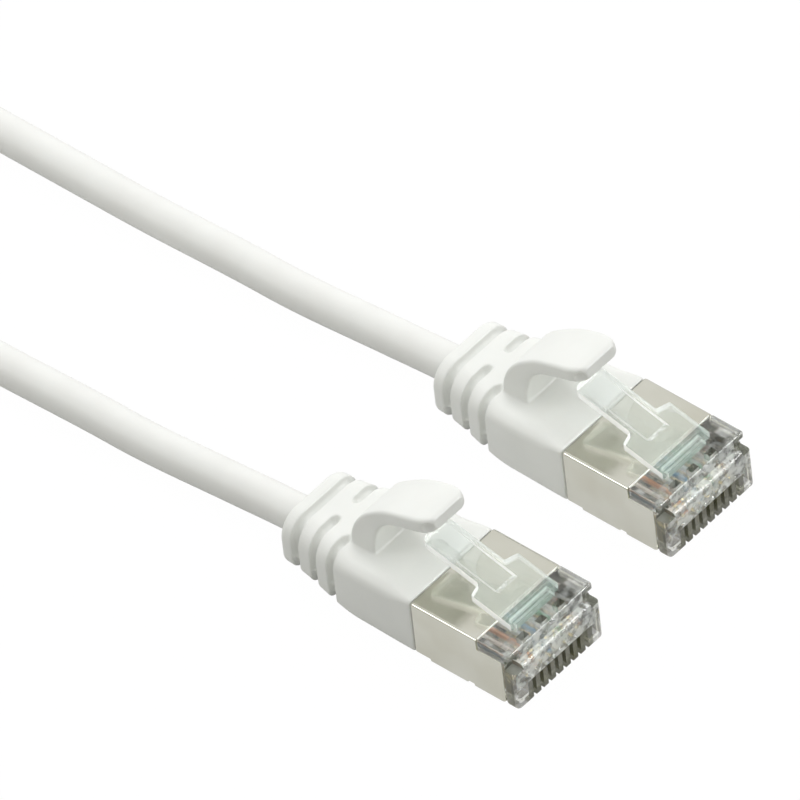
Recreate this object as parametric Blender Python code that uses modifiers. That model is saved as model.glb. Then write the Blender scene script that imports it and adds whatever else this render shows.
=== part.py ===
"""Short slim shielded ethernet patch cable with two 8P8C plugs, built as separate pieces.

Frame: +X towards the plug noses, +Y from plug A to plug B, +Z up, resting plane at z = 0,
origin at the bottom centre of the whole object. Sizes below are in millimetres, and every
mesh is written in metres. A plug's own frame has x = 0 at its nose and x < 0 rearwards.
"""

import math

import bmesh
import bpy
from mathutils import Matrix, Vector

MM = 0.001

# Whole cable
CABLE_LENGTH = 300.0
PLUG_PITCH = 22.45
PLUG_B_SETBACK = 1.18
JACKET_R = 1.85
JACKET_BORE_R = 1.3
CORE_R = 1.12
LOOP_R = 20.0
FLARE_R = 20.0
SWAYS = ((-19.0, 11.0, 0.3), (-32.0, 19.0, 1.0), (-52.0, 16.0, 0.35))
LEG_BOW = sum(sway for _, _, sway in SWAYS)
DROP_START_X = -19.0
DROP_RUN = 19.0
BEND_LIMIT = math.radians(45.0)
BEND_GAP = 2.0 * (JACKET_R * math.tan(BEND_LIMIT / 2.0) + 0.1)
PITCH_PIVOT_X = -37.0
YAW_PIVOT_X = -72.0

# Plug body
PLUG_W = 11.7
PLUG_H = 6.5
HALF_W = PLUG_W / 2.0
NOSE_STEP_X = -0.75
NOSE_STEP_Z = 5.1
WING_FRONT_X = -1.75
TOP_FRONT_X = -4.6
SHIELD_REAR_X = -12.4
SHEET = 0.22
FIT = 0.12
HOUSING_REAR_X = -12.0
NOSE_ROUND = 0.5
NECK_INSET = 0.15
CROWN_ROUND = 0.25
CROWN_ROOT_HALF_W = 4.4
CAVITY_X = (-14.0, -6.2)
CAVITY_HALF_W = 4.7
CAVITY_Z = (1.3, 4.9)
COMB_X = (-6.4, -1.1)
COMB_HALF_W = 4.1
COMB_Z = (2.5, 3.6)
POCKET_X = (-2.1, -1.35)
POCKET_YS = (-2.5, 0.0, 2.5)
POCKET_HALF_W = 0.5
CORNER_NOTCH_X = -1.3
CORNER_NOTCH_Y = 4.75
CORNER_NOTCH_Z = (4.6, 5.85)

# Shield details: openings over the contacts, relief notches at the lower folds, tail and collar
OPENING_REAR_X = -5.2
OPENING_HALF_W = 4.5
FOLD_NOTCHES_X = ((-13.0, -10.5), (-6.2, -5.3))
FOLD_NOTCH_Z = 0.3
TAIL_REAR_X = -15.6
TAIL_HALF_W = 4.2
TAIL_Z = (0.9, 4.9)
COLLAR_X = (-19.5, -15.5)
COLLAR_T = 0.33
COLLAR_SEAM_X = -16.0
COLLAR_SEAM_HALF_W = 0.5

# Contacts and wires
WAYS = 8
WAY_PITCH = 1.02
SLOT_W = 0.62
SLOT_TOP_Z = 2.62
SLOT_REAR_X = -5.6
CONTACT_T = 0.35
CONTACT_LOW_Z = 0.62
CONTACT_FRONT = (-1.5, 1.15)
CONTACT_FRONT_R = 0.5
CONTACT_REAR_X = -4.9
TOOTH_XS = (-2.3, -3.1, -3.9)
TOOTH_H = 0.3
TOOTH_GAP = 0.06
WIRE_R = 0.27
WIRE_ROW_Z = 3.05
CABLE_Z = 2.95
WIRE_FRONT_X = -1.4
WIRE_FAN_X = (-10.6, -16.3)
WIRE_REAR_X = -16.8
CORE_FRONT_X = -17.1
FAN_R = 0.9
FAN_ANGLES_DEG = (157.5, 112.5, 67.5, 22.5)
GUIDE_X = (-10.0, -6.5)
GUIDE_HALF_W = 4.4
GUIDE_Z = (1.9, 4.3)
GUIDE_HOLE_R = WIRE_R + 0.1
STRIPE_WHITE = 0.9
STRIPE_SHARE = 0.25

# Boot
BOOT_FRONT_X = -12.7
BOOT_REAR_X = -29.1
BOOT_HALF_W = HALF_W - 0.02
BOOT_TAPER = 1.18
BOOT_TOP_DROP = 0.45
BOOT_STATIONS = (-12.95, -14.2, -16.0, -18.0, -19.5, -20.5, -21.2, -28.4, -28.8)
BOOT_REAR_ROUND = 0.45
BOOT_FRONT_ROUND = 0.12
SOLE_HALF_W = 2.2
BOOT_BORE_R = JACKET_R + 0.1
GROOVE_DEPTH = 0.75
GROOVE_W = 0.95
GROOVES = ((-27.35, 0.0), (-24.9, 1.2), (-22.45, 2.6))
GROOVE_STATIONS = (1.0, 0.72, 0.45, -0.45, -0.72, -1.0)
TOP_SHARE = 0.4
FLAT_SHARES = (0.75, 0.5, 0.3, 0.0, -0.3, -0.5, -0.75)
BOOT_ROOM_X = (-15.95, -10.0)
BOOT_ROOM_HALF_W = 4.5
BOOT_ROOM_Z = (0.6, 5.2)
COLLAR_ROOM_X = (-19.9, -14.0)
COLLAR_ROOM_R = JACKET_R + 0.65
BORE_XS = (-14.0, -19.0, -21.0, -23.0, -25.0, -27.0, -29.0, -31.0)
TAB_PIVOT = (-19.6, 7.05)
TAB_ARC = ((-20.4, 6.7), (-20.4, 10.3), (-17.4, 12.3), (-11.9, 13.5))
TAB_STEPS = 12
TAB_LEG_T = 2.9
TAB_TIP_T = 1.65
TAB_LEG_HALF_W = 2.9
TAB_NECK_HALF_W = 2.6
TAB_PADDLE_HALF_W = 2.85
TAB_TIP_ROUND = 0.8
TAB_CLIP = 0.4

# Latch
LATCH_PIVOT = (-2.7, 7.0)
LATCH_FRONT_X = -2.2
LATCH_SHOULDER_X = -7.0
LATCH_TAIL_X = -14.0
LATCH_TOP_Z = 7.4
LATCH_SLOPE = 0.25
LATCH_T = 0.75
LATCH_HALF_W = 3.25
LATCH_TAIL_HALF_W = 1.8
RELIEF_X = (-5.5, -11.0)
RELIEF_HALF_W = 1.25
RELIEF_DEPTH = 0.35

PAIR_COLOURS = {
    "orange": (0.85, 0.25, 0.03),
    "green": (0.05, 0.42, 0.10),
    "blue": (0.04, 0.16, 0.60),
    "brown": (0.24, 0.10, 0.04),
}
WIRE_ORDER = (
    ("orange", True),
    ("orange", False),
    ("green", True),
    ("blue", False),
    ("blue", True),
    ("green", False),
    ("brown", True),
    ("brown", False),
)


def new_collection(name):
    made = bpy.data.collections.new(name)
    bpy.context.scene.collection.children.link(made)
    return made


def clear_scene():
    for obj in list(bpy.data.objects):
        bpy.data.objects.remove(obj, do_unlink=True)


def material(name, colour, roughness, metallic=0.0, alpha=1.0):
    found = bpy.data.materials.get(name)
    if found:
        return found
    made = bpy.data.materials.new(name)
    made.use_nodes = True
    shader = made.node_tree.nodes["Principled BSDF"]
    shader.inputs["Base Color"].default_value = (*colour, 1.0)
    shader.inputs["Roughness"].default_value = roughness
    shader.inputs["Metallic"].default_value = metallic
    shader.inputs["Alpha"].default_value = alpha
    return made


clear_scene()
PARTS = new_collection("ethernet_patch_cable")
CUTTERS = new_collection("cutters")
CLEAR = material("clear_polycarbonate", (0.86, 0.89, 0.88), 0.08, alpha=0.35)
NICKEL = material("nickel_shell", (0.72, 0.70, 0.64), 0.22, metallic=1.0)
GOLD = material("gold_contact", (0.86, 0.65, 0.28), 0.2, metallic=1.0)
BOOT_WHITE = material("white_boot", (0.82, 0.83, 0.83), 0.42)
JACKET_WHITE = material("white_jacket", (0.85, 0.85, 0.84), 0.45)
FOIL = material("foil_screen", (0.75, 0.75, 0.76), 0.35, metallic=1.0)
GUIDE = material("guide_plastic", (0.78, 0.80, 0.80), 0.4)


# ---- helpers ---------------------------------------------------------------------------


def link(obj, finish=None):
    """Puts a finished piece in the parts collection, or a helper among the cutters."""
    if finish is None:
        CUTTERS.objects.link(obj)
        obj.hide_render = True
        obj.display_type = "WIRE"
        return obj
    PARTS.objects.link(obj)
    obj.data.materials.append(finish)
    return obj


def object_of(name, bm, finish=None):
    mesh = bpy.data.meshes.new(name)
    bmesh.ops.recalc_face_normals(bm, faces=bm.faces)
    bm.to_mesh(mesh)
    bm.free()
    return link(bpy.data.objects.new(name, mesh), finish)


def block(name, x, y, z, finish=None, round_mm=0.0):
    """A box between the given lowest and highest values, in millimetres."""
    bm = bmesh.new()
    bmesh.ops.create_cube(bm, size=1.0)
    spans = [(high - low) * MM for low, high in (x, y, z)]
    centre = [(low + high) / 2.0 * MM for low, high in (x, y, z)]
    bmesh.ops.scale(bm, vec=spans, verts=bm.verts)
    bmesh.ops.translate(bm, vec=centre, verts=bm.verts)
    obj = object_of(name, bm, finish)
    if round_mm:
        bevel = obj.modifiers.new("rounding", "BEVEL")
        bevel.width = round_mm * MM
        bevel.segments = 2
        bevel.limit_method = "ANGLE"
    return obj


def rod(name, x, radius, y, z, finish=None, sides=24):
    """A cylinder along X from x[0] to x[1], centred on (y, z)."""
    bm = bmesh.new()
    length = (x[1] - x[0]) * MM
    turn = Matrix.Rotation(math.pi / 2.0, 4, "Y")
    place = Matrix.Translation(Vector(((x[0] + x[1]) / 2.0, y, z)) * MM)
    bmesh.ops.create_cone(
        bm,
        cap_ends=True,
        segments=sides,
        radius1=radius * MM,
        radius2=radius * MM,
        depth=length,
        matrix=place @ turn,
    )
    return object_of(name, bm, finish)


def boolean(obj, other, operation):
    modifier = obj.modifiers.new(operation.lower(), "BOOLEAN")
    modifier.object = other
    modifier.operation = operation


def cut(obj, *cutters):
    for cutter in cutters:
        boolean(obj, cutter, "DIFFERENCE")


def join(obj, *others):
    for other in others:
        boolean(obj, other, "UNION")


def loft(name, rings, finish=None):
    """A closed body through rings that hold the same number of points, with flat ends."""
    bm = bmesh.new()
    made = [[bm.verts.new(Vector(p) * MM) for p in ring] for ring in rings]
    count = len(made[0])
    for near, far in zip(made, made[1:]):
        for i in range(count):
            j = (i + 1) % count
            bm.faces.new((near[i], near[j], far[j], far[i]))
    bm.faces.new(made[0])
    bm.faces.new(made[-1])
    return object_of(name, bm, finish)


def outline_plate(name, points, thickness, finish):
    """A flat outline in X and Z, extruded evenly to both sides of y = 0."""
    curve = bpy.data.curves.new(name, "CURVE")
    curve.dimensions = "2D"
    curve.fill_mode = "BOTH"
    curve.extrude = thickness / 2.0 * MM
    spline = curve.splines.new("POLY")
    spline.points.add(len(points) - 1)
    for point, (x, z) in zip(spline.points, points):
        point.co = (x * MM, z * MM, 0.0, 1.0)
    spline.use_cyclic_u = True
    obj = link(bpy.data.objects.new(name, curve), finish)
    obj.rotation_euler = (math.pi / 2.0, 0.0, 0.0)
    return obj


def wire_curve(name, points, radius, finish=None, resolution=2):
    """A round rod along points, with flat ends."""
    curve = bpy.data.curves.new(name, "CURVE")
    curve.dimensions = "3D"
    curve.bevel_depth = radius * MM
    curve.bevel_resolution = resolution
    curve.use_fill_caps = True
    spline = curve.splines.new("POLY")
    spline.points.add(len(points) - 1)
    for point, co in zip(spline.points, points):
        point.co = (*(Vector(co) * MM), 1.0)
    return link(bpy.data.objects.new(name, curve), finish)


def mesh_from_curve(obj):
    """The curve's own surface as a mesh object with welded caps, in the curve's place."""
    bpy.context.view_layer.update()
    graph = bpy.context.evaluated_depsgraph_get()
    mesh = bpy.data.meshes.new_from_object(obj.evaluated_get(graph))
    bm = bmesh.new()
    bm.from_mesh(mesh)
    bmesh.ops.remove_doubles(bm, verts=bm.verts, dist=1e-6)
    bm.to_mesh(mesh)
    bm.free()
    name = obj.name
    made = bpy.data.objects.new(name + "_mesh", mesh)
    made.matrix_world = obj.matrix_world.copy()
    for collection in obj.users_collection:
        collection.objects.link(made)
    made.hide_render = obj.hide_render
    made.display_type = obj.display_type
    bpy.data.objects.remove(obj, do_unlink=True)
    made.name = name
    return made


def tube(name, points, radius, bore_radius, finish):
    """A round tube along points, open at both ends."""
    outer = mesh_from_curve(wire_curve(name, points, radius, finish, resolution=4))
    head = extended(points[0], points[1])
    tail = extended(points[-1], points[-2])
    bore_points = [head, *points[1:-1], tail]
    cut(outer, mesh_from_curve(wire_curve(name + "_bore", bore_points, bore_radius, resolution=3)))
    return outer


def extended(end, inner, by=1.0):
    """The end point moved outwards, away from the inner one."""
    end, inner = Vector(end), Vector(inner)
    return tuple(end + (end - inner).normalized() * by)


def smooth(t):
    t = min(max(t, 0.0), 1.0)
    return t * t * (3.0 - 2.0 * t)


def lerp(a, b, t):
    return a + (b - a) * t


def set_origin(obj, x, y, z):
    """Moves a mesh object's origin to a point of its parent frame, shape unmoved."""
    shift = Vector((x, y, z)) * MM
    obj.data.transform(Matrix.Translation(-shift))
    obj.location = shift


def shade(obj, angle_deg=35.0):
    if obj.type != "MESH":
        return
    obj.data.shade_smooth()
    obj.data.set_sharp_from_angle(angle=math.radians(angle_deg))


# ---- plug ------------------------------------------------------------------------------


def way_y(way):
    """Sideways place of contact and wire number way, counted from 1."""
    return (way - (WAYS + 1) / 2.0) * WAY_PITCH


def make_housing(tag):
    """Clear body: a stepped nose, contact slots, a wire cavity and pockets in its top."""
    inner_half = HALF_W - SHEET - FIT
    low = SHEET + FIT
    high = PLUG_H - SHEET - FIT
    housing = block(
        "housing" + tag,
        (HOUSING_REAR_X, WING_FRONT_X - 0.1),
        (-inner_half, inner_half),
        (low, high),
        CLEAR,
    )
    nose = block(
        "nose" + tag,
        (WING_FRONT_X + FIT, 0.0),
        (-HALF_W, HALF_W),
        (0.0, NOSE_STEP_Z),
        round_mm=NOSE_ROUND,
    )
    neck_half = inner_half - NECK_INSET
    neck = block("neck" + tag, (-3.0, -1.0), (-neck_half, neck_half), (low + 0.1, NOSE_STEP_Z - 0.2))
    crown = block(
        "crown" + tag,
        (TOP_FRONT_X + FIT, NOSE_STEP_X),
        (-HALF_W, HALF_W),
        (NOSE_STEP_Z + 0.1 + FIT, PLUG_H),
        round_mm=CROWN_ROUND,
    )
    crown_root = block(
        "crown_root" + tag,
        (TOP_FRONT_X + 0.4, NOSE_STEP_X - 0.2),
        (-CROWN_ROOT_HALF_W, CROWN_ROOT_HALF_W),
        (NOSE_STEP_Z - 1.1, PLUG_H - 0.3),
    )
    join(housing, neck, nose, crown_root, crown)
    cut(housing, *housing_cutters(tag))
    return housing


def housing_cutters(tag):
    """Contact slots, the wires' comb and cavity, the top pockets and the corner notches."""
    cutters = []
    for way in range(1, WAYS + 1):
        y = way_y(way)
        sides = (y - SLOT_W / 2.0, y + SLOT_W / 2.0)
        cutters.append(block(f"slot_{way}{tag}", (SLOT_REAR_X, 1.0), sides, (-1.0, SLOT_TOP_Z)))
    cutters.append(block("comb" + tag, COMB_X, (-COMB_HALF_W, COMB_HALF_W), COMB_Z))
    cutters.append(block("cavity" + tag, CAVITY_X, (-CAVITY_HALF_W, CAVITY_HALF_W), CAVITY_Z))
    for number, y in enumerate(POCKET_YS, 1):
        sides = (y - POCKET_HALF_W, y + POCKET_HALF_W)
        cutters.append(block(f"pocket_{number}{tag}", POCKET_X, sides, (NOSE_STEP_Z + 0.1, PLUG_H + 1.0)))
    for side in (-1.0, 1.0):
        edges = sorted((side * CORNER_NOTCH_Y, side * (HALF_W + 1.0)))
        cutters.append(block(f"notch_{side:+.0f}{tag}", (CORNER_NOTCH_X, 0.5), edges, CORNER_NOTCH_Z))
    return cutters


def make_contact(way, tag):
    """One blade: a rounded front, a flat lower edge and three points under the wire."""
    top = WIRE_ROW_Z - WIRE_R - TOOTH_GAP
    low = top - TOOTH_H
    outline = []
    for a in (math.pi, 3.0 * math.pi / 4.0):
        x = CONTACT_FRONT[0] - CONTACT_FRONT_R * math.cos(a)
        outline.append((x, CONTACT_FRONT[1] + CONTACT_FRONT_R * math.sin(a)))
    outline.append((-2.1, low))
    for x in TOOTH_XS[:-1]:
        outline += [(x, top), (x - 0.5, low)]
    outline += [(TOOTH_XS[-1], top), (CONTACT_REAR_X, low), (CONTACT_REAR_X, CONTACT_LOW_Z)]
    outline += [(-1.65, CONTACT_LOW_Z), (-1.15, CONTACT_LOW_Z + 0.18)]
    contact = outline_plate(f"contact_{way}{tag}", outline, CONTACT_T, GOLD)
    contact.location.y = way_y(way) * MM
    return contact


def fan_place(way):
    """Where a wire sits in the cable's core, on a ring, its pair partner next to it."""
    column = (way - 1) // 2
    angle = math.radians(FAN_ANGLES_DEG[column])
    side = 1.0 if way % 2 else -1.0
    return FAN_R * math.cos(angle), CABLE_Z + side * FAN_R * math.sin(angle)


def make_wire(way, tag):
    """One insulated conductor, from over its contact back to the cable's core."""
    colour, striped = WIRE_ORDER[way - 1]
    rgb = PAIR_COLOURS[colour]
    if striped:
        rgb = tuple(lerp(STRIPE_WHITE, part, STRIPE_SHARE) for part in rgb)
    finish = material(("white_" if striped else "") + colour, rgb, 0.35)
    y0, z0 = way_y(way), WIRE_ROW_Z
    y1, z1 = fan_place(way)
    points = [(WIRE_FRONT_X, y0, z0)]
    steps = 6
    for i in range(steps + 1):
        t = i / steps
        points.append((lerp(*WIRE_FAN_X, t), lerp(y0, y1, smooth(t)), lerp(z0, z1, smooth(t))))
    points.append((WIRE_REAR_X, y1, z1))
    return wire_curve(f"wire_{way}{tag}", points, WIRE_R, finish, resolution=1)


def make_load_bar(tag):
    """Comb-like guide that holds the eight wires in line behind the contacts."""
    bar = block("load_bar" + tag, GUIDE_X, (-GUIDE_HALF_W, GUIDE_HALF_W), GUIDE_Z, GUIDE)
    through = (GUIDE_X[0] - 1.0, GUIDE_X[1] + 1.0)
    for way in range(1, WAYS + 1):
        name = f"guide_hole_{way}{tag}"
        cut(bar, rod(name, through, GUIDE_HOLE_R, way_y(way), WIRE_ROW_Z, sides=10))
    return bar


def make_shield(tag):
    """Folded sheet shell: sleeve, side wings, rear wall, stepped-in tail and crimp collar."""
    inner = HALF_W - SHEET
    shell = block(
        "shield" + tag,
        (SHIELD_REAR_X, WING_FRONT_X),
        (-HALF_W, HALF_W),
        (0.0, PLUG_H),
        NICKEL,
    )
    hollow = block(
        "shield_hollow" + tag,
        (SHIELD_REAR_X + SHEET, 1.0),
        (-inner, inner),
        (SHEET, PLUG_H - SHEET),
    )
    top_cut = block(
        "shield_top_cut" + tag,
        (TOP_FRONT_X, 1.0),
        (-HALF_W - 1.0, HALF_W + 1.0),
        (NOSE_STEP_Z + 0.1, PLUG_H + 1.0),
    )
    sides = (-OPENING_HALF_W, OPENING_HALF_W)
    opening = block("shield_opening" + tag, (OPENING_REAR_X, 1.0), sides, (-1.0, 1.0))
    cut(shell, hollow, top_cut, opening, *fold_notches(tag))
    add_collar(shell, tag)
    return shell


def fold_notches(tag):
    """Small openings where the sides fold into the underside."""
    cutters = []
    for side in (-1.0, 1.0):
        edges = sorted((side * (HALF_W - 2.0 * SHEET), side * (HALF_W + 1.0)))
        for number, span in enumerate(FOLD_NOTCHES_X, 1):
            name = f"fold_notch_{number}_{side:+.0f}{tag}"
            cutters.append(block(name, span, edges, (-1.0, FOLD_NOTCH_Z)))
    return cutters


def add_collar(shell, tag):
    """Stepped-in tail and the split collar round the cable."""
    inner = TAIL_HALF_W - SHEET
    tail = block(
        "shield_tail" + tag,
        (TAIL_REAR_X, SHIELD_REAR_X + 0.1),
        (-TAIL_HALF_W, TAIL_HALF_W),
        TAIL_Z,
    )
    collar = rod("shield_collar" + tag, COLLAR_X, JACKET_R + FIT + COLLAR_T, 0.0, CABLE_Z)
    join(shell, tail, collar)
    tail_hollow = block(
        "tail_hollow" + tag,
        (TAIL_REAR_X + SHEET, SHIELD_REAR_X + 0.6),
        (-inner, inner),
        (TAIL_Z[0] + SHEET, TAIL_Z[1] - SHEET),
    )
    through = (COLLAR_X[0] - 1.5, COLLAR_X[1] + 0.5)
    collar_hollow = rod("collar_hollow" + tag, through, JACKET_R + FIT, 0.0, CABLE_Z)
    seam = block(
        "collar_seam" + tag,
        (through[0], COLLAR_SEAM_X),
        (-COLLAR_SEAM_HALF_W, COLLAR_SEAM_HALF_W),
        (CABLE_Z, PLUG_H),
    )
    cut(shell, tail_hollow, collar_hollow, seam)


def boot_section(x, inset):
    """Rounded outline of the boot at x, each point moved in by inset(y, side)."""
    t = (BOOT_FRONT_X - x) / (BOOT_FRONT_X - BOOT_REAR_X)
    half = BOOT_HALF_W - BOOT_TAPER * smooth((t - 0.36) / 0.62)
    top = PLUG_H - BOOT_TOP_DROP * t
    round_top = lerp(0.5, 1.35, smooth(t / 0.2)) + 1.15 * smooth((t - 0.4) / 0.45)
    round_low = lerp(0.45, 0.65, smooth(t / 0.4)) + 1.05 * smooth((t - 0.4) / 0.6)
    points = []
    for radius, side, height, start in (
        (round_top, 1.0, top - round_top, 0.0),
        (round_top, -1.0, top - round_top, 90.0),
        (round_low, -1.0, round_low, 180.0),
        (round_low, 1.0, round_low, 270.0),
    ):
        centre = Vector((side * (half - radius), height))
        for i in range(4):
            a = math.radians(start + 30.0 * i)
            out = Vector((math.cos(a), math.sin(a)))
            points.append((centre + out * radius, out))
        if start in (0.0, 180.0):
            up = 1.0 if start == 0.0 else -1.0
            level = top if start == 0.0 else 0.0
            for share in FLAT_SHARES:
                flat = Vector((up * share * (half - radius), level))
                points.append((flat, Vector((0.0, up))))
    ring = []
    for place, out in points:
        moved = place - out * inset(abs(place.x), out.y)
        ring.append((x, moved.x, moved.y))
    return ring


def groove_inset(x, y, up):
    """Depth of the strain-relief grooves, which stop short of a spine on top and of a flat sole."""
    depth = 0.0
    for centre, spine in GROOVES:
        away = abs(x - centre) / (GROOVE_W / 2.0)
        share = smooth((1.0 - away) / 0.55)
        if spine and up > TOP_SHARE:
            share *= smooth((y - spine + 0.3) / 0.6)
        if up < -TOP_SHARE:
            share *= smooth((y - SOLE_HALF_W) / 0.6)
        depth = max(depth, GROOVE_DEPTH * share)
    return depth


def boot_inset(x):
    """Inset at station x: the grooves, and the rounded front and rear edges."""
    rounding = BOOT_REAR_ROUND * smooth((BOOT_REAR_X + 0.7 - x) / 0.7)
    rounding += BOOT_FRONT_ROUND * smooth((x - BOOT_FRONT_X + 0.25) / 0.25)
    sole = 0.5 * rounding
    return lambda y, up: groove_inset(x, y, up) + (sole if up < -TOP_SHARE else rounding)


def make_boot(tag):
    """White moulded strain relief: front block, three rings, bore for the cable."""
    stations = [BOOT_FRONT_X, *BOOT_STATIONS, BOOT_REAR_X]
    for centre, _ in GROOVES:
        stations += [centre + GROOVE_W / 2.0 * share for share in GROOVE_STATIONS]
    rings = [boot_section(x, boot_inset(x)) for x in sorted(set(stations), reverse=True)]
    boot = loft("boot" + tag, rings, BOOT_WHITE)
    sides = (-BOOT_ROOM_HALF_W, BOOT_ROOM_HALF_W)
    front = block("boot_front_hollow" + tag, BOOT_ROOM_X, sides, BOOT_ROOM_Z)
    middle = rod("boot_middle_hollow" + tag, COLLAR_ROOM_X, COLLAR_ROOM_R, 0.0, CABLE_Z)
    path = [(x, *leg_place(x)) for x in BORE_XS]
    bore = mesh_from_curve(wire_curve("boot_bore" + tag, path, BOOT_BORE_R, resolution=4))
    cut(boot, front, middle, bore)
    return boot


def tab_arc(t):
    """Middle line of the boot's tab in X and Z, a cubic from its base up to its tip."""
    weights = ((1 - t) ** 3, 3 * t * (1 - t) ** 2, 3 * t * t * (1 - t), t**3)
    x = sum(w * p[0] for w, p in zip(weights, TAB_ARC))
    z = sum(w * p[1] for w, p in zip(weights, TAB_ARC))
    return Vector((x, z))


def tab_half(t):
    """Half width of the tab: wide foot, narrow neck, paddle with a rounded tip."""
    half = lerp(TAB_LEG_HALF_W, TAB_NECK_HALF_W, smooth(t / 0.35))
    half += (TAB_PADDLE_HALF_W - TAB_NECK_HALF_W) * smooth((t - 0.5) / 0.3)
    return half - TAB_TIP_ROUND * smooth((t - 0.85) / 0.15) ** 2


def make_boot_tab(tag):
    """Arched tab over the latch's tail."""
    rings = []
    for i in range(TAB_STEPS + 1):
        t = i / TAB_STEPS
        along = (tab_arc(min(t + 0.01, 1.0)) - tab_arc(max(t - 0.01, 0.0))).normalized()
        normal = Vector((-along.y, along.x))
        thick = lerp(TAB_LEG_T, TAB_TIP_T, smooth(t / 0.55))
        rings.append(tab_section(tab_arc(t), normal, thick / 2.0, tab_half(t)))
    tab = loft("boot_tab" + tag, rings, BOOT_WHITE)
    set_origin(tab, TAB_PIVOT[0], 0.0, TAB_PIVOT[1])
    return tab


def tab_section(place, normal, half_thick, half_wide):
    """Rectangle with clipped corners, across the tab's middle line."""
    flat, deep = half_wide - TAB_CLIP, half_thick - TAB_CLIP
    corners = (
        (half_wide, deep),
        (flat, half_thick),
        (-flat, half_thick),
        (-half_wide, deep),
        (-half_wide, -deep),
        (-flat, -half_thick),
        (flat, -half_thick),
        (half_wide, -deep),
    )
    return [(place.x + normal.x * n, y, place.y + normal.y * n) for y, n in corners]


def latch_top(x):
    return LATCH_TOP_Z + LATCH_SLOPE * (LATCH_FRONT_X - x)


def make_latch(tag):
    """Sprung clip lever: wide root, a shoulder on each side, narrow upturned tail."""
    stations = (
        (LATCH_FRONT_X, LATCH_HALF_W),
        (LATCH_SHOULDER_X + 0.5, LATCH_HALF_W),
        (LATCH_SHOULDER_X, LATCH_HALF_W - 0.25),
        (LATCH_SHOULDER_X - 0.5, LATCH_TAIL_HALF_W + 0.1),
        (LATCH_SHOULDER_X - 1.0, LATCH_TAIL_HALF_W),
        (LATCH_TAIL_X + 0.4, LATCH_TAIL_HALF_W),
        (LATCH_TAIL_X, LATCH_TAIL_HALF_W - 0.35),
    )
    rings = []
    for x, half in stations:
        top, low = latch_top(x), latch_top(x) - LATCH_T
        rings.append([(x, half, low), (x, half, top), (x, -half, top), (x, -half, low)])
    latch = loft("latch" + tag, rings, CLEAR)
    relief = []
    for x in RELIEF_X:
        floor, above = latch_top(x) - RELIEF_DEPTH, latch_top(x) + 1.0
        y = RELIEF_HALF_W
        relief.append([(x, y, floor), (x, y, above), (x, -y, above), (x, -y, floor)])
    cut(latch, loft("latch_relief" + tag, relief))
    set_origin(latch, LATCH_PIVOT[0], 0.0, LATCH_PIVOT[1])
    return latch


# ---- cable -----------------------------------------------------------------------------


def leg_length():
    """Straight run from a plug's nose to the loop, so that the cable keeps its length."""
    flare = math.acos((PLUG_PITCH / 2.0 + FLARE_R) / (LOOP_R + FLARE_R))
    curved = 2.0 * FLARE_R * flare + LOOP_R * (math.pi + 2.0 * flare)
    return (CABLE_LENGTH - curved) / 2.0


def leg_place(x):
    """Sideways and upward place of the cable's centre, x behind its own plug's nose."""
    aside = -sum(sway * smooth((start - x) / run) for start, run, sway in SWAYS)
    height = lerp(CABLE_Z, JACKET_R, smooth((DROP_START_X - x) / DROP_RUN))
    return aside, height


def leg_points(nose, first, last, step=4.0):
    """World points of the cable between two places of one leg."""
    count = max(1, math.ceil((first - last) / step))
    points = []
    for i in range(count + 1):
        x = lerp(first, last, i / count)
        aside, height = leg_place(x)
        points.append((nose[0] + x, nose[1] + aside, height))
    return points


def arc_points(centre, radius, start, sweep, steps):
    points = []
    for i in range(1, steps + 1):
        a = start + sweep * i / steps
        points.append((centre[0] + radius * math.cos(a), centre[1] + radius * math.sin(a), JACKET_R))
    return points


def loop_points(noses):
    """World points of the loop that joins the two legs, between their bend joints."""
    half_pitch = PLUG_PITCH / 2.0
    flare = math.acos((half_pitch + FLARE_R) / (LOOP_R + FLARE_R))
    flare_x = noses[0][0] - leg_length()
    loop_x = flare_x - (LOOP_R + FLARE_R) * math.sin(flare)
    quarter = math.pi / 2.0
    start, end = (nose[0] + YAW_PIVOT_X - BEND_GAP / 2.0 for nose in noses)
    points = [(start, -half_pitch, JACKET_R), (flare_x, -half_pitch, JACKET_R)]
    points += arc_points((flare_x, -half_pitch - FLARE_R), FLARE_R, quarter, flare, 4)
    points += arc_points((loop_x, 0.0), LOOP_R, flare - quarter, -math.pi - 2.0 * flare, 26)
    points += arc_points((flare_x, half_pitch + FLARE_R), FLARE_R, -quarter - flare, flare, 4)
    points.append((end, half_pitch, JACKET_R))
    return points


def make_cable(name, points, finish=JACKET_WHITE):
    """Jacket with its bore, and the screened core of twisted pairs inside it."""
    jacket = tube("jacket_" + name, points, JACKET_R, JACKET_BORE_R, finish)
    core = wire_curve("core_" + name, points, CORE_R, FOIL, resolution=2)
    return jacket, core


# ---- assembly --------------------------------------------------------------------------


def axis_empty(name, place, parent=None):
    """An empty on a joint's axis; place is in world millimetres."""
    empty = bpy.data.objects.new(name, None)
    PARTS.objects.link(empty)
    empty.empty_display_size = 0.005
    empty.location = Vector(place) * MM
    bpy.context.view_layer.update()
    if parent:
        attach(empty, parent)
    return empty


def attach(obj, parent):
    """Parents obj where it stands."""
    obj.parent = parent
    obj.matrix_parent_inverse = parent.matrix_world.inverted()
    bpy.context.view_layer.update()


def make_plug(tag, nose, pitch_axis):
    """All pieces of one plug, modelled in its own frame and hung on the pitch axis."""
    before = set(bpy.data.objects)
    make_housing(tag)
    make_latch(tag)
    make_shield(tag)
    make_boot(tag)
    make_boot_tab(tag)
    make_load_bar(tag)
    for way in range(1, WAYS + 1):
        make_contact(way, tag)
        make_wire(way, tag)
    frame = axis_empty("plug_frame" + tag, (nose[0], nose[1], 0.0), pitch_axis)
    for obj in set(bpy.data.objects) - before - {frame}:
        obj.parent = frame


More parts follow.
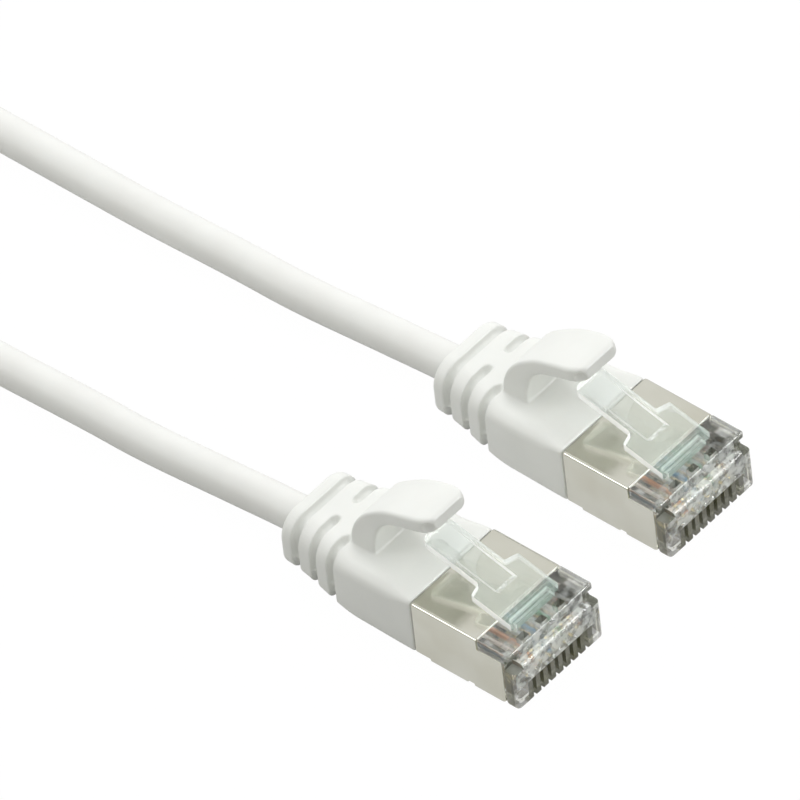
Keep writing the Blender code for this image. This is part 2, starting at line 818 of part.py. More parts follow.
def make_side(tag, nose):
    """One leg of the cable with its plug, each hung on its own bend axis."""
    yaw_aside, yaw_height = leg_place(YAW_PIVOT_X)
    pitch_aside, pitch_height = leg_place(PITCH_PIVOT_X)
    yaw_axis = axis_empty("leg_axis" + tag, (nose[0] + YAW_PIVOT_X, nose[1] + yaw_aside, yaw_height))
    pitch_place = (nose[0] + PITCH_PIVOT_X, nose[1] + pitch_aside, pitch_height)
    pitch_axis = axis_empty("plug_axis" + tag, pitch_place, yaw_axis)
    clear = BEND_GAP / 2.0
    make_plug(tag, nose, pitch_axis)
    leg = leg_points(nose, PITCH_PIVOT_X - clear, YAW_PIVOT_X + clear)
    end = leg_points(nose, CORE_FRONT_X, PITCH_PIVOT_X + clear)
    for name, points, parent in (("leg", leg, yaw_axis), ("end", end, pitch_axis)):
        before = set(bpy.data.objects)
        make_cable(name + tag, points)
        for obj in set(bpy.data.objects) - before:
            attach(obj, parent)


def main():
    flare = math.acos((PLUG_PITCH / 2.0 + FLARE_R) / (LOOP_R + FLARE_R))
    behind = (LOOP_R + FLARE_R) * math.sin(flare) + LOOP_R + JACKET_R
    nose_x = (leg_length() + behind) / 2.0
    noses = (
        (nose_x, LEG_BOW - PLUG_PITCH / 2.0),
        (nose_x - PLUG_B_SETBACK, LEG_BOW + PLUG_PITCH / 2.0),
    )
    for tag, nose in zip(("_a", "_b"), noses):
        make_side(tag, nose)
    make_cable("loop", loop_points(noses))
    for obj in PARTS.objects:
        shade(obj)


main()
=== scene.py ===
"""Looks of the ethernet patch cable: two clear shielded plugs with white boots on a white cable.

Shapes are built in millimetres in a plug's own frame, x = 0 at the nose and x < 0 rearwards,
then moved to their plug in metres. The frame gives each plug's place.
"""

import math

import bmesh
import bpy
from mathutils import Matrix, Vector


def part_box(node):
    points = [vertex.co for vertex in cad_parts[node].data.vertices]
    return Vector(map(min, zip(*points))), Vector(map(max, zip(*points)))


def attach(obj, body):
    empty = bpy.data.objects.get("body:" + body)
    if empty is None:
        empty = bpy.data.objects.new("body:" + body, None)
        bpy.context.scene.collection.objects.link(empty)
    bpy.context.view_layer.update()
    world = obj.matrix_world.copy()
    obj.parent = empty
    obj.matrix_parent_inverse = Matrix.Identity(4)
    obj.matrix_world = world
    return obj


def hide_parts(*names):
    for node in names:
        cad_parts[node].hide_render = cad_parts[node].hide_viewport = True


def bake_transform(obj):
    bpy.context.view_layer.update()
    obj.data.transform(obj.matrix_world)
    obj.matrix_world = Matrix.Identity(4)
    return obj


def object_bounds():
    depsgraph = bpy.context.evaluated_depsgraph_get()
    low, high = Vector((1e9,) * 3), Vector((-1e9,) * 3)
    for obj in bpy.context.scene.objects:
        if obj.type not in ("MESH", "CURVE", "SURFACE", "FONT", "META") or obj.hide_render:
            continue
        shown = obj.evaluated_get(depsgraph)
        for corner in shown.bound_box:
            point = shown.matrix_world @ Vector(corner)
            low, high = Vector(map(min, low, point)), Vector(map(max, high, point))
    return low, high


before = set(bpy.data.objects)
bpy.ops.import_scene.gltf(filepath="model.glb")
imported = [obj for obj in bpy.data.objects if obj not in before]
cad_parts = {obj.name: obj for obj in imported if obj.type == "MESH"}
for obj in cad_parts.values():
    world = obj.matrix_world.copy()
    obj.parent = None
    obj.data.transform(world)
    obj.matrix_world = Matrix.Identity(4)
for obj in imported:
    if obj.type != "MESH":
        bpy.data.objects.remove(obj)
CAD_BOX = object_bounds()
MM = 0.001
TAGS = ("_a", "_b")
SIDES = (-1.0, 1.0)

# Plug body
HALF_W = 5.85
PLUG_H = 6.5
NOSE_STEP_X = -0.75
NOSE_STEP_Z = 5.1
WING_FRONT_X = -1.75
TOP_FRONT_X = -4.6
SHIELD_REAR_X = -12.4
SHEET = 0.22
WAYS = 8
WAY_PITCH = 1.02
SLOT_W = 0.44
SLOT_TOP_Z = 2.62
SLOT_REAR_X = -5.6
SLOT_MOUTH_STEPS = 6
RIB_REAR_X = -1.6
RIBS_HALF_W = 4.4
BODY_Z = (0.35, 6.15)
BODY_GAP = 0.1
CROWN_GAP = 0.12
POCKETS_Y = (-2.9, -0.4, 2.1)
POCKET_HALF_W = 0.5
POCKET_X = (-1.85, -1.15)
POCKET_FLOOR_Z = 5.2
CORNER_CUT_X = -1.3
CORNER_CUT_Y = 4.75
CORNER_CUT_Z = (4.6, NOSE_STEP_Z + 0.75)
HOUSING_ROUND = 0.09
PATCHY_REAR_X = -2.3
PAINT_REACH = 0.05
NOSE_ROUND = 0.45
CROWN_ROUND = 0.22
COMB = ((-6.4, -1.1), (-4.1, 4.1), (2.5, 3.6))
WIRE_CAVITY = ((-14.0, -6.2), (-4.7, 4.7), (1.3, 4.9))

# Cutters reach this far past what they cut, and up to this height
BEYOND = 1.0
ABOVE_Z = 8.0

# Shield
SHELL_ROUND = 0.28
SHEET_ROUND = 0.08
BEND_W = 0.3
WING_TOP_GAP = 0.1
OPENING_X = -5.2
OPENING_HALF_W = 4.5
NOTCHES_X = ((-13.0, -10.5), (-6.2, -5.3))
NOTCH_DEPTH = 1.2
NOTCH_TOP_Z = 0.42
SIDE_CUT_Y = 7.0
TAIL_REAR_X = -15.6
TAIL_HALF_W = 4.2
TAIL_Z = (0.9, 4.9)
COLLAR_X = (-19.5, -15.5)
COLLAR_CUT_X = (-21.0, -15.0)
COLLAR_OUTER = 0.45
COLLAR_INNER = 0.12

# Boot and tab
BOOT_FRONT_X = -12.45
BOOT_TAPER_X = -12.7
BOOT_TAPER_END_X = -29.1
BOOT_REAR_X = -29.2
BOOT_HALF_W = 5.83
BOOT_EDGE_X = -12.75
BOOT_EDGE_RUN = 0.3
BOOT_EDGE_ROUND = 0.1
BOOT_END_RUN = 0.6
BOOT_END_ROUND = 0.5
# Its sections are close together behind and ahead of these
BOOT_FINE_X = (-21.8, -13.0)
BOOT_FINE_STEP = 0.07
BOOT_STEP = 0.4
BOOT_HOLLOW = ((-15.9, -10.0), (-4.5, 4.5), (0.7, 5.2))
BORE_R = 1.87
BORE_X = (-12.0, -31.0)
BORE_STEP = 0.5
GROOVE_DEPTH = 0.8
GROOVE_W = 0.95
# Grooves: place along the boot, and half width of the spine that is left on top
GROOVES = ((-27.35, 0.0), (-24.9, 1.2), (-22.45, 2.6))
SOLE_HALF_W = 2.2
BRIDGE_Z = 1.9
BRIDGE_W = 0.16
BRIDGE_SHARE = 0.55
TAB_ARC = ((-20.4, 6.7), (-20.4, 10.3), (-17.4, 12.3), (-11.9, 13.5))
TAB_LEG_T = 2.9
TAB_TIP_T = 1.65
TAB_LEG_HALF_W = 2.9
TAB_NECK_HALF_W = 2.6
TAB_PADDLE_HALF_W = 2.85
TAB_CORNER = 0.2
TAB_TIP_CORNER = 0.5
TAB_FOOT_DROPS = (1.8, 1.2, 0.6)
TAB_STEPS = 48
# Shares of the tab's length where its outline rounds and where its tip thins
TIP_ROUND_FROM = 0.87
TIP_ROUND_RUN = 0.13
TIP_ROUND_BY = 1.05
TIP_THIN_FROM = 0.94
TIP_THIN_RUN = 0.06
TAB_DIMPLE = (-12.14, -2.7, 13.22)
TAB_DIMPLE_R = 0.75
VOXEL = 0.1

# Latch
LATCH_FRONT_X = -2.5
LATCH_SHOULDER_X = -7.0
LATCH_ROOT_X = -3.6
LATCH_TAIL_X = -14.0
LATCH_TOP_Z = 7.475
LATCH_SLOPE = 0.25
LATCH_T = 0.75
LATCH_HALF_W = 3.25
LATCH_TAIL_HALF_W = 1.8
LATCH_STEP = 0.12
LATCH_SHOULDER_RUN = 0.5
LATCH_TAIL_RUN = 0.8
LATCH_TAIL_ROUND = 0.7
LATCH_FOOT_HALF_W = 2.6
LATCH_FOOT_Z = (6.4, 7.1)
LATCH_ROUND = 0.07
# The shallow recess in its top: x and depth along it, half width at its floor and above
RELIEF = ((-5.5, 0.03), (-6.1, 0.4), (-9.0, 0.35), (-13.2, 0.02))
RELIEF_HALF_W = (1.25, 1.4)

# Cable
JACKET_R = 1.85
CABLE_Z = 2.95
# Sideways drift of a leg: where each bend starts, over what run, and how far it goes
SWAYS = ((-19.0, 11.0, 0.3), (-32.0, 19.0, 1.0), (-52.0, 16.0, 0.35))
DROP_START_X = -19.0
DROP_RUN = 19.0
LOOP_R = 20.0
FLARE_R = 20.0
LEG_JOIN_X = -54.0
CORE_FRONT_X = -17.1
CABLE_STEP = 1.0

# Material slots of the pieces that have several finishes; slot 0 is the main one. The others hold
# painted light: a painted glint on edges, painted glare and sheen on faces that catch the light,
# and painted shade on ribs, nose sides, recesses, the latch's root and the shield's inner faces
HOUSING_EDGE_GLINT, HOUSING_SHADE, HOUSING_DEEP_SHADE, HOUSING_GLARE, HOUSING_SHEEN = 1, 2, 3, 4, 5
LATCH_EDGE_GLINT, LATCH_ROOT_SHADE, LATCH_GLARE = 1, 2, 3
SHIELD_EDGE_GLINT, SHIELD_INSIDE_SHADE = 1, 2

# Wires in the plug's order, contact one first; striped ones are white with a stripe
WIRE_COLOURS = {
    "orange": (0.78, 0.28, 0.08),
    "green": (0.16, 0.42, 0.24),
    "blue": (0.06, 0.28, 0.50),
    "brown": (0.24, 0.10, 0.04),
}
WIRE_ORDER = ("orange", "orange", "green", "blue", "blue", "green", "brown", "brown")
WIRE_STRIPED = (True, False, True, False, True, False, True, False)
STRIPED_PALE = (0.88, 0.88, 0.86)

# Camera: the view direction, its roll, and the width of the picture at the target
VIEW_AZIMUTH = math.radians(45.5)
VIEW_ELEVATION = math.radians(45.44)
VIEW_ROLL = math.radians(6.83)
VIEW_WIDTH = 72.17
VIEW_DISTANCE = 3300.0
VIEW_TARGET = (-32.09, 15.41, 3.0)
SENSOR_WIDTH = 36.0
CLIP_RANGE = (0.05, 10.0)

# Rolling streaks in the sheet run along the plug
STREAK_SCALE = (0.25, 2.0, 1.0)

# How much of the shade cast by clear plastic is taken away
SHADOW_LIFT = 0.85

# Studio surroundings: brighter towards the axis, darker away from it
SKY_AXIS = (0.0, 0.5, 0.86)
SKY_DARK = (0.24, 0.24, 0.2)
SKY_BRIGHT = (0.95, 0.95, 0.94)
SKY_SPAN = (0.3, 0.9)

# Soft lamps, hidden from reflections: place from the target and size in metres, and power
SOFT_LAMPS = (
    ("key", (-0.2, 0.2, 0.56), 0.3, 1.0),
    ("fill", (0.05, 0.35, 0.55), 0.4, 0.18),
    ("side", (-0.45, -0.3, 0.3), 0.4, 0.5),
)

# Lamps that only show in reflections: direction, size in metres and power
GLINTS = (
    ("glint_front", (0.71, 0.5, 0.49), 0.3, 4.0),
    ("glint_left", (-0.49, -0.71, 0.5), 0.15, 0.45),
)
GLINT_DISTANCE = 0.6

# White board: its glow as the camera sees it, and in reflections
FLOOR_GLOW_SEEN = 0.97
FLOOR_GLOW_MIRRORED = 0.66
FLOOR_GLOW = 1.02
FLOOR_HALF = 3.0
FLOOR_Z = -0.0002

# Distances in millimetres under which vertices are joined
WELD_BEFORE_ROUNDING = 0.01
WELD_AFTER_SPLIT = 0.0005

SCRATCH = bpy.data.collections.new("scratch")
bpy.context.scene.collection.children.link(SCRATCH)


# ---- small helpers ---------------------------------------------------------------------


def smooth(t):
    """Eases from 0 to 1 as t goes from 0 to 1."""
    t = min(max(t, 0.0), 1.0)
    return t * t * (3.0 - 2.0 * t)


def lerp(a, b, t):
    return a + (b - a) * t


def nose_place(tag):
    """The plug nose on its centre line, in metres, from the frame's own housing box."""
    low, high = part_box("housing" + tag)
    return Vector((high.x, (low.y + high.y) / 2.0, 0.0))


def solid(name, bm):
    """Makes an object of the shape, kept apart from the scene until it is finished."""
    mesh = bpy.data.meshes.new(name)
    bmesh.ops.recalc_face_normals(bm, faces=bm.faces)
    bm.to_mesh(mesh)
    bm.free()
    obj = bpy.data.objects.new(name, mesh)
    SCRATCH.objects.link(obj)
    return obj


def block(name, x, y, z, rounding=0.0, segments=2):
    """A box between the given lowest and highest values, its edges rounded."""
    bm = bmesh.new()
    bmesh.ops.create_cube(bm, size=1.0)
    bmesh.ops.scale(bm, vec=[high - low for low, high in (x, y, z)], verts=bm.verts)
    bmesh.ops.translate(bm, vec=[(low + high) / 2.0 for low, high in (x, y, z)], verts=bm.verts)
    if rounding:
        bmesh.ops.bevel(
            bm,
            geom=bm.edges[:] + bm.verts[:],
            offset=rounding,
            segments=segments,
            profile=0.5,
            affect="EDGES",
        )
    return solid(name, bm)


def ball(name, centre, radius):
    bm = bmesh.new()
    bmesh.ops.create_icosphere(bm, subdivisions=3, radius=radius)
    bmesh.ops.translate(bm, vec=centre, verts=bm.verts)
    return solid(name, bm)


def loft(name, rings):
    """A closed body through rings of equal length."""
    bm = bmesh.new()
    made = [[bm.verts.new(Vector(p)) for p in ring] for ring in rings]
    count = len(made[0])
    for near, far in zip(made, made[1:]):
        for i in range(count):
            j = (i + 1) % count
            bm.faces.new((near[i], near[j], far[j], far[i]))
    bm.faces.new(made[0])
    bm.faces.new(made[-1])
    return solid(name, bm)


def tube(name, points, radius, sides=40):
    """A round rod along points, each ring square to the path and upright."""
    rings = []
    last = len(points) - 1
    for i, point in enumerate(points):
        along = Vector(points[min(i + 1, last)]) - Vector(points[max(i - 1, 0)])
        side = along.normalized().cross(Vector((0.0, 0.0, 1.0))).normalized()
        up = side.cross(along.normalized())
        ring = []
        for k in range(sides):
            a = math.tau * k / sides
            ring.append(Vector(point) + (side * math.cos(a) + up * math.sin(a)) * radius)
        rings.append(ring)
    return loft(name, rings)


def applied(obj):
    """Bakes the object's modifiers into its mesh."""
    bpy.context.view_layer.update()
    graph = bpy.context.evaluated_depsgraph_get()
    mesh = bpy.data.meshes.new_from_object(obj.evaluated_get(graph))
    obj.modifiers.clear()
    obj.data = mesh
    return obj


def boolean(obj, others, operation):
    """Joins the others to the object or cuts them from it, and removes them."""
    for other in others:
        modifier = obj.modifiers.new(operation.lower(), "BOOLEAN")
        modifier.object = other
        modifier.operation = operation
    applied(obj)
    for other in others:
        bpy.data.objects.remove(other, do_unlink=True)


def weld(obj, distance):
    """Joins vertices closer than the distance, which a boolean leaves behind."""
    bm = bmesh.new()
    bm.from_mesh(obj.data)
    bmesh.ops.remove_doubles(bm, verts=bm.verts, dist=distance)
    bmesh.ops.dissolve_degenerate(bm, edges=bm.edges, dist=distance)
    bm.to_mesh(obj.data)
    bm.free()


def rounded(obj, width, segments=2, angle_deg=30.0, edge_slot=None):
    """Rounds the sharp edges; the new faces may take a material slot of their own."""
    weld(obj, WELD_BEFORE_ROUNDING)
    bevel = obj.modifiers.new("rounding", "BEVEL")
    bevel.width = width
    bevel.segments = segments
    bevel.limit_method = "ANGLE"
    bevel.angle_limit = math.radians(angle_deg)
    if edge_slot is not None:
        bevel.material = edge_slot
    applied(obj)


def split(obj, place, normal):
    """Adds edges where a plane crosses the mesh."""
    bm = bmesh.new()
    bm.from_mesh(obj.data)
    geom = bm.verts[:] + bm.edges[:] + bm.faces[:]
    bmesh.ops.bisect_plane(bm, geom=geom, plane_co=place, plane_no=normal)
    bmesh.ops.remove_doubles(bm, verts=bm.verts, dist=WELD_AFTER_SPLIT)
    bm.to_mesh(obj.data)
    bm.free()


def finished(obj, name, nose, finishes, smooth_deg=35.0):
    """Names the piece, moves it from its plug's millimetres to the frame's metres, paints it."""
    obj.name = name
    obj.data.name = name
    obj.data.transform(Matrix.Translation(nose) @ Matrix.Scale(MM, 4))
    SCRATCH.objects.unlink(obj)
    bpy.context.scene.collection.objects.link(obj)
    while len(obj.data.materials) < len(finishes):
        obj.data.materials.append(None)
    for i, finish in enumerate(finishes):
        obj.data.materials[i] = finish
    obj.data.shade_smooth()
    obj.data.set_sharp_from_angle(angle=math.radians(smooth_deg))
    weigh = obj.modifiers.new("flat_faces", "WEIGHTED_NORMAL")
    weigh.keep_sharp = True
    return applied(obj)


# ---- materials -------------------------------------------------------------------------


class Finish:
    """A node material under construction around one Principled shader."""

    def __init__(self, name):
        self.material = bpy.data.materials.new(name)
        self.material.use_nodes = True
        self.tree = self.material.node_tree
        self.shader = self.tree.nodes["Principled BSDF"]
        self.output = self.tree.nodes["Material Output"]
        self.coords = self.tree.nodes.new("ShaderNodeTexCoord")

    def set(self, **inputs):
        """Sets shader inputs by name, an underscore standing for a space."""
        for key, value in inputs.items():
            self.shader.inputs[key.replace("_", " ")].default_value = value

    def noise(self, scale, detail=2.0):
        """Noise in the object's own metres; scale is features per millimetre."""
        node = self.tree.nodes.new("ShaderNodeTexNoise")
        node.inputs["Scale"].default_value = scale / MM
        node.inputs["Detail"].default_value = detail
        self.tree.links.new(self.coords.outputs["Object"], node.inputs["Vector"])
        return node.outputs["Fac"]

    def ramp(self, value, stops):
        """Colours the value by two stops, each a place from 0 to 1 and a colour."""
        node = self.tree.nodes.new("ShaderNodeValToRGB")
        for element, (place, colour) in zip(node.color_ramp.elements, stops):
            element.position = place
            element.color = (*colour, 1.0)
        self.tree.links.new(value, node.inputs["Fac"])
        return node.outputs["Color"]

    def spread(self, value, low, high, start=0.3, end=0.7):
        """Maps the value from start..end to low..high."""
        node = self.tree.nodes.new("ShaderNodeMapRange")
        node.inputs["From Min"].default_value = start
        node.inputs["From Max"].default_value = end
        node.inputs["To Min"].default_value = low
        node.inputs["To Max"].default_value = high
        self.tree.links.new(value, node.inputs["Value"])
        return node.outputs["Result"]

    def bump(self, value, height_mm, strength):
        node = self.tree.nodes.new("ShaderNodeBump")
        node.inputs["Distance"].default_value = height_mm * MM
        node.inputs["Strength"].default_value = strength
        self.tree.links.new(value, node.inputs["Height"])
        self.tree.links.new(node.outputs["Normal"], self.shader.inputs["Normal"])

    def feed(self, output, name):
        self.tree.links.new(output, self.shader.inputs[name])


def moulded_white(name, base, shade, roughness, grain):
    """Satin moulded or extruded plastic, slightly cloudy; grain is features per millimetre."""
    made = Finish(name)
    cloud = made.noise(0.25, 3.0)
    made.feed(made.ramp(cloud, ((0.3, shade), (0.7, base))), "Base Color")
    made.feed(made.spread(made.noise(2.0), roughness - 0.05, roughness + 0.06), "Roughness")
    made.bump(made.noise(grain, 4.0), 0.012, 0.35)
    made.set(Subsurface_Weight=0.05, Subsurface_Scale=0.0004, IOR=1.45)
    made.shader.inputs["Subsurface Radius"].default_value = (1.0, 0.9, 0.8)
    return made.material


def nickel_sheet(name, shade, base, roughness, glow=0.0):
    """Warm nickel plating on stamped sheet: satin, with faint rolling streaks; glow is a painted
    glint, light given off by the sheet itself.
    """
    made = Finish(name)
    streak = made.tree.nodes.new("ShaderNodeMapping")
    streak.inputs["Scale"].default_value = STREAK_SCALE
    made.tree.links.new(made.coords.outputs["Object"], streak.inputs["Vector"])
    grain = made.tree.nodes.new("ShaderNodeTexNoise")
    grain.inputs["Scale"].default_value = 1.2 / MM
    grain.inputs["Detail"].default_value = 3.0
    made.tree.links.new(streak.outputs["Vector"], grain.inputs["Vector"])
    tone = made.ramp(made.noise(0.18, 2.0), ((0.35, shade), (0.65, base)))
    made.feed(tone, "Base Color")
    made.feed(made.spread(grain.outputs["Fac"], roughness - 0.05, roughness + 0.05), "Roughness")
    made.bump(grain.outputs["Fac"], 0.004, 0.25)
    made.set(Metallic=1.0, Emission_Strength=glow)
    return made.material


def clear_plastic(name, tint, roughness, haze, cover, patchy=False, glow=0.0):
    """Polished polycarbonate with moulding waviness; haze makes it milky, cover less see-through.

    Light on its way to a surface passes mostly unbent, so that the parts inside are lit.
    A patchy one is milky in spots only, a painted highlight where the steps inside a moulding
    catch the light.
    Glow is a painted glint: light given off by the plastic itself, standing for the light that the
    plastic pipes to a cut edge.
    """
    made = Finish(name)
    pale = tuple(lerp(part, 0.98, 0.2) for part in tint)
    made.feed(made.ramp(made.noise(0.3, 2.0), ((0.3, tint), (0.7, pale))), "Base Color")
    made.feed(made.spread(made.noise(0.8), roughness * 0.5, roughness * 1.5), "Roughness")
    path = made.tree.nodes.new("ShaderNodeLightPath")
    seen = made.tree.nodes.new("ShaderNodeMath")
    seen.operation = "MULTIPLY_ADD"
    seen.inputs[1].default_value = -SHADOW_LIFT * cover
    made.tree.links.new(path.outputs["Is Shadow Ray"], seen.inputs[0])
    covering = made.spread(made.noise(0.6, 3.0), cover - 0.06, cover + 0.06)
    made.tree.links.new(covering, seen.inputs[2])
    made.feed(seen.outputs["Value"], "Alpha")
    if patchy:
        spots = made.spread(made.noise(1.1, 3.0), 1.0 - haze, 1.0, 0.4, 0.64)
        made.feed(spots, "Transmission Weight")
        made.bump(made.noise(0.8, 3.0), 0.07, 0.4)
    else:
        made.set(Transmission_Weight=1.0 - haze)
        made.bump(made.noise(0.45, 2.0), 0.02, 0.3)
    made.set(IOR=1.5, Emission_Strength=glow)
    return made.material


def gold_plate():
    made = Finish("gold_contact")
    tone = made.ramp(made.noise(0.9, 3.0), ((0.3, (0.60, 0.50, 0.28)), (0.7, (0.74, 0.62, 0.36))))
    made.feed(tone, "Base Color")
    made.feed(made.spread(made.noise(3.0), 0.35, 0.5), "Roughness")
    made.set(Metallic=1.0)
    return made.material


def foil():
    """Crinkled aluminium screen."""
    made = Finish("foil_screen")
    tone = made.ramp(made.noise(0.6, 3.0), ((0.3, (0.62, 0.62, 0.63)), (0.7, (0.82, 0.82, 0.83))))
    made.feed(tone, "Base Color")
    made.feed(made.spread(made.noise(1.5), 0.28, 0.42), "Roughness")
    made.bump(made.noise(1.2, 4.0), 0.05, 0.6)
    made.set(Metallic=1.0)
    return made.material


def insulation(name, colour, pale):
    """Wire insulation with slight mottling."""
    made = Finish(name)
    made.feed(made.ramp(made.noise(0.8, 2.0), ((0.3, pale), (0.7, colour))), "Base Color")
    made.feed(made.spread(made.noise(2.5), 0.3, 0.42), "Roughness")
    return made.material


# ---- boot with its tab -----------------------------------------------------------------


def boot_outline(x):
    """Points and outward directions along the outline of the boot at x, and its top's height."""
    t = (BOOT_TAPER_X - x) / (BOOT_TAPER_X - BOOT_TAPER_END_X)
    half = BOOT_HALF_W - 1.18 * smooth((t - 0.36) / 0.62)
    top = PLUG_H - 0.45 * max(t, 0.0)
    round_top = lerp(0.5, 1.35, smooth(t / 0.2)) + 1.15 * smooth((t - 0.4) / 0.45)
    round_low = lerp(0.45, 0.65, smooth(t / 0.4)) + 1.05 * smooth((t - 0.4) / 0.6)
    corners = (
        (round_top, 1.0, top - round_top, 0.0),
        (round_top, -1.0, top - round_top, 90.0),
        (round_low, -1.0, round_low, 180.0),
        (round_low, 1.0, round_low, 270.0),
    )
    steps, fill = 10, 16
    arcs = []
    for radius, side, height, start in corners:
        centre = Vector((side * (half - radius), height))
        arc = []
        for i in range(steps + 1):
            a = math.radians(start + 90.0 * i / steps)
            out = Vector((math.cos(a), math.sin(a)))
            arc.append((centre + out * radius, out))
        arcs.append(arc)
    outline = []
    for arc, following in zip(arcs, arcs[1:] + arcs[:1]):
        outline += arc
        (from_place, out), (to_place, _) = arc[-1], following[0]
        for i in range(1, fill):
            outline.append((from_place.lerp(to_place, i / fill), out))
    return outline, top


def groove_depth(x, place, out, along):
    """Depth of the rounded grooves: they end round beside the spine and at the sole.

    A thin bridge of material crosses each groove low on its side.
    """
    depth = 0.0
    half = GROOVE_W / 2.0
    for centre, spine in GROOVES:
        short = spine + half - along if spine else 0.0
        if out.y < -0.4:
            short = SOLE_HALF_W + half - abs(place.x)
        away = math.hypot(x - centre, max(0.0, short)) / half
        if away < 1.0:
            depth = max(depth, GROOVE_DEPTH * (1.0 - away * away) ** 0.4)
    bridge = math.exp(-(((place.y - BRIDGE_Z) / BRIDGE_W) ** 2))
    return depth * (1.0 - BRIDGE_SHARE * bridge)


def boot_ring(x):
    """The boot's section at x, sunk in at the grooves and rounded at both ends."""
    outline, top = boot_outline(x)
    rear = max(0.0, (BOOT_REAR_X + BOOT_END_RUN - x) / BOOT_END_RUN)
    front = max(0.0, (x - BOOT_EDGE_X) / BOOT_EDGE_RUN)
    ring = []
    for place, out in outline:
        if out.y > 0.99:
            along = abs(place.x)
        else:
            along = abs(place.x) + max(0.0, top - place.y)
        rounding = BOOT_END_ROUND * (1.0 - math.sqrt(max(0.0, 1.0 - rear * rear)))
        rounding += BOOT_EDGE_ROUND * front * front
        moved = place - out * (groove_depth(x, place, out, along) + rounding)
        ring.append((x, moved.x, moved.y))
    return ring


def tab_middle(t):
    """Middle line of the tab in X and Z, a cubic from its base up to its tip."""
    weights = ((1 - t) ** 3, 3 * t * (1 - t) ** 2, 3 * t * t * (1 - t), t**3)
    x = sum(w * p[0] for w, p in zip(weights, TAB_ARC))
    z = sum(w * p[1] for w, p in zip(weights, TAB_ARC))
    return Vector((x, z))


def tab_ring(place, normal, half_thick, half_wide, corner):
    """Rounded rectangle across the tab's middle line."""
    corner = min(corner, half_thick * 0.95, half_wide * 0.95)
    ring = []
    for side, face, start in ((1, 1, 0), (-1, 1, 90), (-1, -1, 180), (1, -1, 270)):
        for i in range(9):
            a = math.radians(start + 90.0 * i / 8)
            y = side * (half_wide - corner) + corner * math.cos(a)
            n = face * (half_thick - corner) + corner * math.sin(a)
            ring.append((place.x + normal.x * n, y, place.y + normal.y * n))
    return ring


def tab_half(t):
    """Half width of the tab: wide foot, narrow neck, paddle with a rounded tip."""
    half = lerp(TAB_LEG_HALF_W, TAB_NECK_HALF_W, smooth(t / 0.35))
    half += (TAB_PADDLE_HALF_W - TAB_NECK_HALF_W) * smooth((t - 0.5) / 0.3)
    tip = max(0.0, (t - TIP_ROUND_FROM) / TIP_ROUND_RUN)
    return half - TIP_ROUND_BY * (1.0 - math.sqrt(max(0.0, 1.0 - tip * tip * 0.98)))


def boot_tab():
    """The arched tab, sunk into the boot's top at its base, widening to a rounded paddle."""
    rings = []
    foot = tab_middle(0.0)
    rear = Vector((-1.0, 0.0))
    for drop in TAB_FOOT_DROPS:
        place = foot - Vector((0.0, drop))
        rings.append(tab_ring(place, rear, TAB_LEG_T / 2.0, TAB_LEG_HALF_W, TAB_CORNER))
    for i in range(TAB_STEPS + 1):
        t = i / TAB_STEPS
        along = (tab_middle(min(t + 0.01, 1.0)) - tab_middle(max(t - 0.01, 0.0))).normalized()
        normal = Vector((-along.y, along.x))
        thick = lerp(TAB_LEG_T, TAB_TIP_T, smooth(t / 0.55))
        end = max(0.0, (t - TIP_THIN_FROM) / TIP_THIN_RUN)
        thick *= 1.0 - 0.3 * (1.0 - math.sqrt(max(0.0, 1.0 - end * end)))
        corner = lerp(TAB_CORNER, TAB_TIP_CORNER, t)
        rings.append(tab_ring(tab_middle(t), normal, thick / 2.0, tab_half(t), corner))
    return loft("tab", rings)


def boot_stations():
    """Places along the boot, closer together at the grooves and at the front edge."""
    fine_rear, fine_front = BOOT_FINE_X
    places = []
    x = BOOT_FRONT_X
    while x > BOOT_REAR_X + 0.05:
        places.append(x)
        x -= BOOT_FINE_STEP if x < fine_rear or x > fine_front else BOOT_STEP
    places.append(BOOT_REAR_X)
    return places


def cable_path(first, last, step):
    """Points of the cable's middle line in the plug's frame, from first back to last."""
    count = max(1, math.ceil((first - last) / step))
    points = []
    for i in range(count + 1):
        x = lerp(first, last, i / count)
        aside = -sum(sway * smooth((start - x) / run) for start, run, sway in SWAYS)
        height = lerp(CABLE_Z, JACKET_R, smooth((DROP_START_X - x) / DROP_RUN))
        points.append((x, aside, height))
    return points


def boot_shape():
    """Boot and tab as one moulded body with softened edges."""
    boot = loft("boot", [boot_ring(x) for x in boot_stations()])
    bore = tube("bore", cable_path(*BORE_X, BORE_STEP), BORE_R, 48)
    front = block("front_hollow", *BOOT_HOLLOW, 0.2)
    boolean(boot, (bore, front), "DIFFERENCE")
    boolean(boot, (boot_tab(),), "UNION")
    dimple = ball("dimple", TAB_DIMPLE, TAB_DIMPLE_R)
    boolean(boot, (dimple,), "DIFFERENCE")
    remesh = boot.modifiers.new("voxels", "REMESH")
    remesh.mode = "VOXEL"
    remesh.voxel_size = VOXEL
    soften = boot.modifiers.new("soften", "SMOOTH")
    soften.factor = 0.5
    soften.iterations = 3
    return applied(boot)


# ---- latch -----------------------------------------------------------------------------


def latch_top(x):
    return LATCH_TOP_Z + LATCH_SLOPE * (LATCH_FRONT_X - x)


def latch_half(x):
    """Half width: wide root, a rounded shoulder, narrow tail with rounded end."""
    shoulder = smooth((LATCH_SHOULDER_X - x) / LATCH_SHOULDER_RUN)
    half = lerp(LATCH_HALF_W, LATCH_TAIL_HALF_W, shoulder)
    tail = max(0.0, (LATCH_TAIL_X + LATCH_TAIL_RUN - x) / LATCH_TAIL_RUN)
    return half - LATCH_TAIL_ROUND * (1.0 - math.sqrt(max(0.0, 1.0 - tail * tail)))


